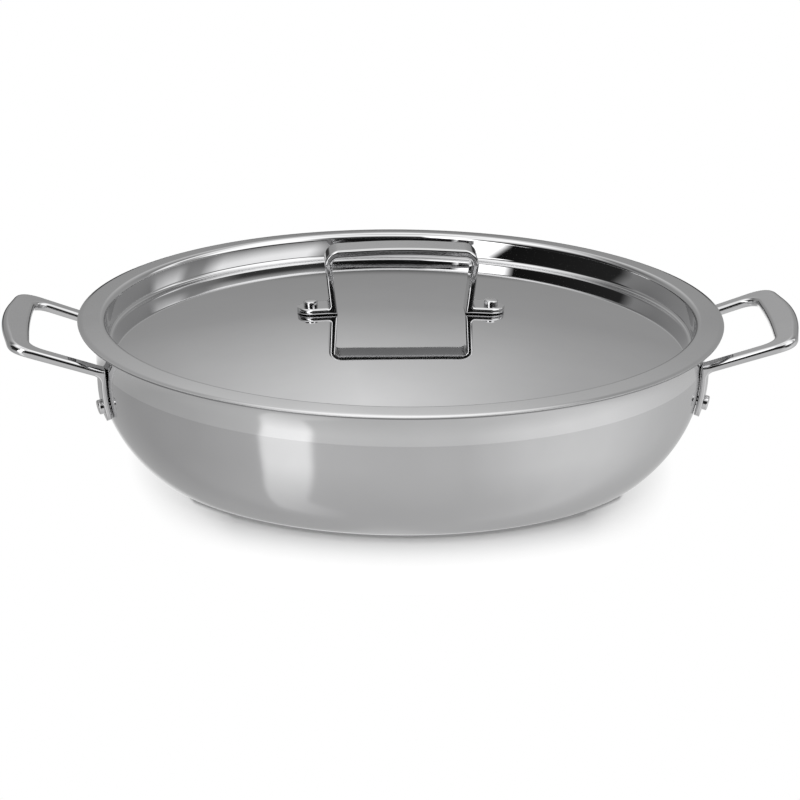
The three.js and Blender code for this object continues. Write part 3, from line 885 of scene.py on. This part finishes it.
# Camera: position from the fitted view, aimed so that the object sits as in the photograph, with a slight roll
AZIMUTH = math.radians(-3.0)
ELEVATION = math.radians(17.72)
ROLL = math.radians(0.53)
DISTANCE = 2.0
CENTRE_Z = 0.040
AIM_Z = 0.0265
SENSOR = 36
LENS = 178.47
CLIP_END = 50


def floor():
    """Pale sweep that keeps the object's shadow near it and is plain white to the camera further out.

    The metal sees it as part of the studio cards.
    """
    verts, faces, _ = lathe([(r, FLOOR_Z) for r in FLOOR_RINGS], STUDIO_SEGMENTS)
    sweep = bpy.data.materials.new("studio_floor")
    sweep.use_nodes = True
    tree = sweep.node_tree
    shader = tree.nodes["Principled BSDF"]
    shader.inputs["Roughness"].default_value = FLOOR_ROUGH
    shader.inputs["Specular IOR Level"].default_value = 0.0
    shader.inputs["Base Color"].default_value = FLOOR_TONE
    where = tree.nodes.new("ShaderNodeTexCoord")
    length = tree.nodes.new("ShaderNodeVectorMath")
    length.operation = "LENGTH"
    tree.links.new(where.outputs["Object"], length.inputs[0])
    distance = length.outputs["Value"]
    split = tree.nodes.new("ShaderNodeSeparateXYZ")
    tree.links.new(where.outputs["Object"], split.inputs[0])
    sideways = math_node(tree, "ABSOLUTE", split.outputs[0])

    def past(value, limit):
        return math_node(tree, "MAXIMUM", math_node(tree, "SUBTRACT", value, limit), 0.0)

    aside = math_node(tree, "MULTIPLY", past(sideways, FLOOR_SIDE_FROM), FLOOR_SIDE_GAIN)
    outside = level_ramp(tree, math_node(tree, "ADD", distance, aside), FLOOR_WHITE)
    widened = math_node(tree, "ADD", distance, past(sideways, FLOOR_CONTACT_SIDE))
    clear = math_node(tree, "DIVIDE", past(widened, FLOOR_CONTACT), FLOOR_CONTACT_FADE)
    share = math_node(tree, "MULTIPLY", outside, math_node(tree, "MINIMUM", clear, 1.0))
    path = tree.nodes.new("ShaderNodeLightPath")
    share = math_node(tree, "MULTIPLY", share, path.outputs["Is Camera Ray"])
    white = node(tree, "Emission", Color=(1, 1, 1, 1), Strength=1.0)
    tree.links.new(mixed_shader(tree, share, shader, white), tree.nodes["Material Output"].inputs["Surface"])
    made = piece("studio_floor", verts, [tuple(reversed(f)) for f in faces], sweep)
    made.visible_glossy = False


def studio_cards():
    """Sphere of soft cards that only the metal sees."""
    line = [(0.0, -CARD_R)]
    for degrees in range(CARD_RING_STEP - 90, 90, CARD_RING_STEP):
        a = math.radians(degrees)
        line.append((CARD_R * math.cos(a), CARD_R * math.sin(a)))
    verts, faces, _ = lathe(line + [(0.0, CARD_R)], STUDIO_SEGMENTS)
    cards = bpy.data.materials.new("studio_cards")
    cards.use_nodes = True
    tree = cards.node_tree
    tree.nodes.clear()
    where = tree.nodes.new("ShaderNodeTexCoord")
    unit = tree.nodes.new("ShaderNodeVectorMath")
    unit.operation = "NORMALIZE"
    tree.links.new(where.outputs["Object"], unit.inputs[0])
    split = tree.nodes.new("ShaderNodeSeparateXYZ")
    tree.links.new(unit.outputs[0], split.inputs[0])
    x, y, z = split.outputs
    lift = math_node(tree, "ADD", math_node(tree, "MULTIPLY", math_node(tree, "ARCSINE", z), 1 / math.pi), 0.5)
    round_about = math_node(tree, "ARCTAN2", x, math_node(tree, "MULTIPLY", y, -1.0))
    bearing = math_node(tree, "ADD", math_node(tree, "MULTIPLY", round_about, 0.5 / math.pi), 0.5)

    def at_lift(stops):
        return level_ramp(tree, lift, [(0.5 + angle / 180, level) for angle, level in stops])

    def at_bearing(value, stops):
        return level_ramp(tree, value, [(0.5 + angle / 360, level) for angle, level in stops])

    def mixed(share, a, b):
        made = tree.nodes.new("ShaderNodeMix")
        made.data_type = "RGBA"
        for key, value in (("Factor", share), ("A", a), ("B", b)):
            tree.links.new(value, made.inputs[key])
        return made.outputs["Result"]

    under = at_bearing(bearing, [(-180, CARD_UNDER), (180, CARD_UNDER)])
    behind = at_bearing(bearing, CARD_BEHIND)
    draw_in = mixed(behind, at_lift(CARD_DRAW_IN), at_lift(CARD_NOT_DRAWN))
    drawn = math_node(tree, "MULTIPLY", math_node(tree, "SUBTRACT", bearing, 0.5), draw_in)
    table = at_bearing(math_node(tree, "ADD", drawn, 0.5), CARD_TABLE)
    lean = math_node(tree, "MULTIPLY", at_lift(CARD_LEAN), math_node(tree, "SUBTRACT", 1.0, behind))
    leaned = math_node(tree, "SUBTRACT", bearing, math_node(tree, "DIVIDE", lean, 360.0))
    rise = mixed(behind, at_lift(LEVEL_TO_ABOVE_FRONT), at_lift(LEVEL_TO_ABOVE_BEHIND))
    sky = mixed(rise, at_bearing(leaned, CARD_LEVEL), at_bearing(leaned, CARD_ABOVE))
    top_share = mixed(behind, at_lift(ABOVE_TO_TOP_FRONT), at_lift(ABOVE_TO_TOP_BEHIND))
    sky = mixed(top_share, sky, at_lift(TOP_TO_ZENITH))
    sky = mixed(at_lift(HORIZON_TO_LEVEL), at_bearing(bearing, CARD_HORIZON), sky)
    ground = mixed(at_lift(UNDER_TO_TABLE), under, table)
    glow = node(tree, "Emission", Strength=1.0)
    tree.links.new(mixed(at_lift(TABLE_TO_HORIZON), ground, sky), glow.inputs["Color"])
    out = tree.nodes.new("ShaderNodeOutputMaterial")
    tree.links.new(glow.outputs[0], out.inputs["Surface"])
    made = piece("studio_cards", verts, faces, cards)
    made.visible_camera = False
    made.visible_diffuse = False
    made.visible_shadow = False
    made.visible_transmission = False


def key_lamp():
    """Softbox over the object that the metal doesn't mirror."""
    data = bpy.data.lights.new("key_softbox", "AREA")
    data.shape = "RECTANGLE"
    data.size, data.size_y = KEY_SIZE, KEY_SIZE
    data.energy = KEY_POWER
    made = bpy.data.objects.new("key_softbox", data)
    made.location = KEY_PLACE
    made.rotation_euler = (Vector(KEY_TARGET) - Vector(KEY_PLACE)).to_track_quat("-Z", "Y").to_euler()
    made.visible_camera = False
    made.visible_glossy = False
    bpy.context.scene.collection.objects.link(made)


def white_world():
    """World that is white to the camera and the metal and lights the rest softly."""
    world = bpy.data.worlds.new("studio_world")
    bpy.context.scene.world = world
    world.use_nodes = True
    tree = world.node_tree
    tree.nodes.clear()
    path = tree.nodes.new("ShaderNodeLightPath")
    seen = math_node(tree, "MAXIMUM", path.outputs["Is Camera Ray"], path.outputs["Is Glossy Ray"])
    seen = math_node(tree, "MAXIMUM", seen, path.outputs["Is Transmission Ray"])
    light = node(tree, "Background", Color=(1, 1, 1, 1), Strength=WORLD_LIGHT)
    white = node(tree, "Background", Color=(1, 1, 1, 1), Strength=1.0)
    out = tree.nodes.new("ShaderNodeOutputWorld")
    tree.links.new(mixed_shader(tree, seen, light, white), out.inputs["Surface"])


def photo_camera():
    """Camera of the photograph."""
    level = math.cos(ELEVATION)
    back = Vector((math.sin(AZIMUTH) * level, -math.cos(AZIMUTH) * level, math.sin(ELEVATION)))
    data = bpy.data.cameras.new("camera")
    data.sensor_width = SENSOR
    data.lens = LENS
    data.clip_end = CLIP_END
    camera = bpy.data.objects.new("camera", data)
    camera.location = Vector((0, 0, CENTRE_Z)) + back * DISTANCE
    aim = (Vector((0, 0, AIM_Z)) - camera.location).to_track_quat("-Z", "Y")
    camera.rotation_euler = (aim.to_matrix() @ Matrix.Rotation(ROLL, 3, "Z")).to_euler()
    bpy.context.scene.collection.objects.link(camera)
    bpy.context.scene.camera = camera


floor()
studio_cards()
key_lamp()
white_world()
bpy.context.scene.view_settings.view_transform = "Standard"
photo_camera()
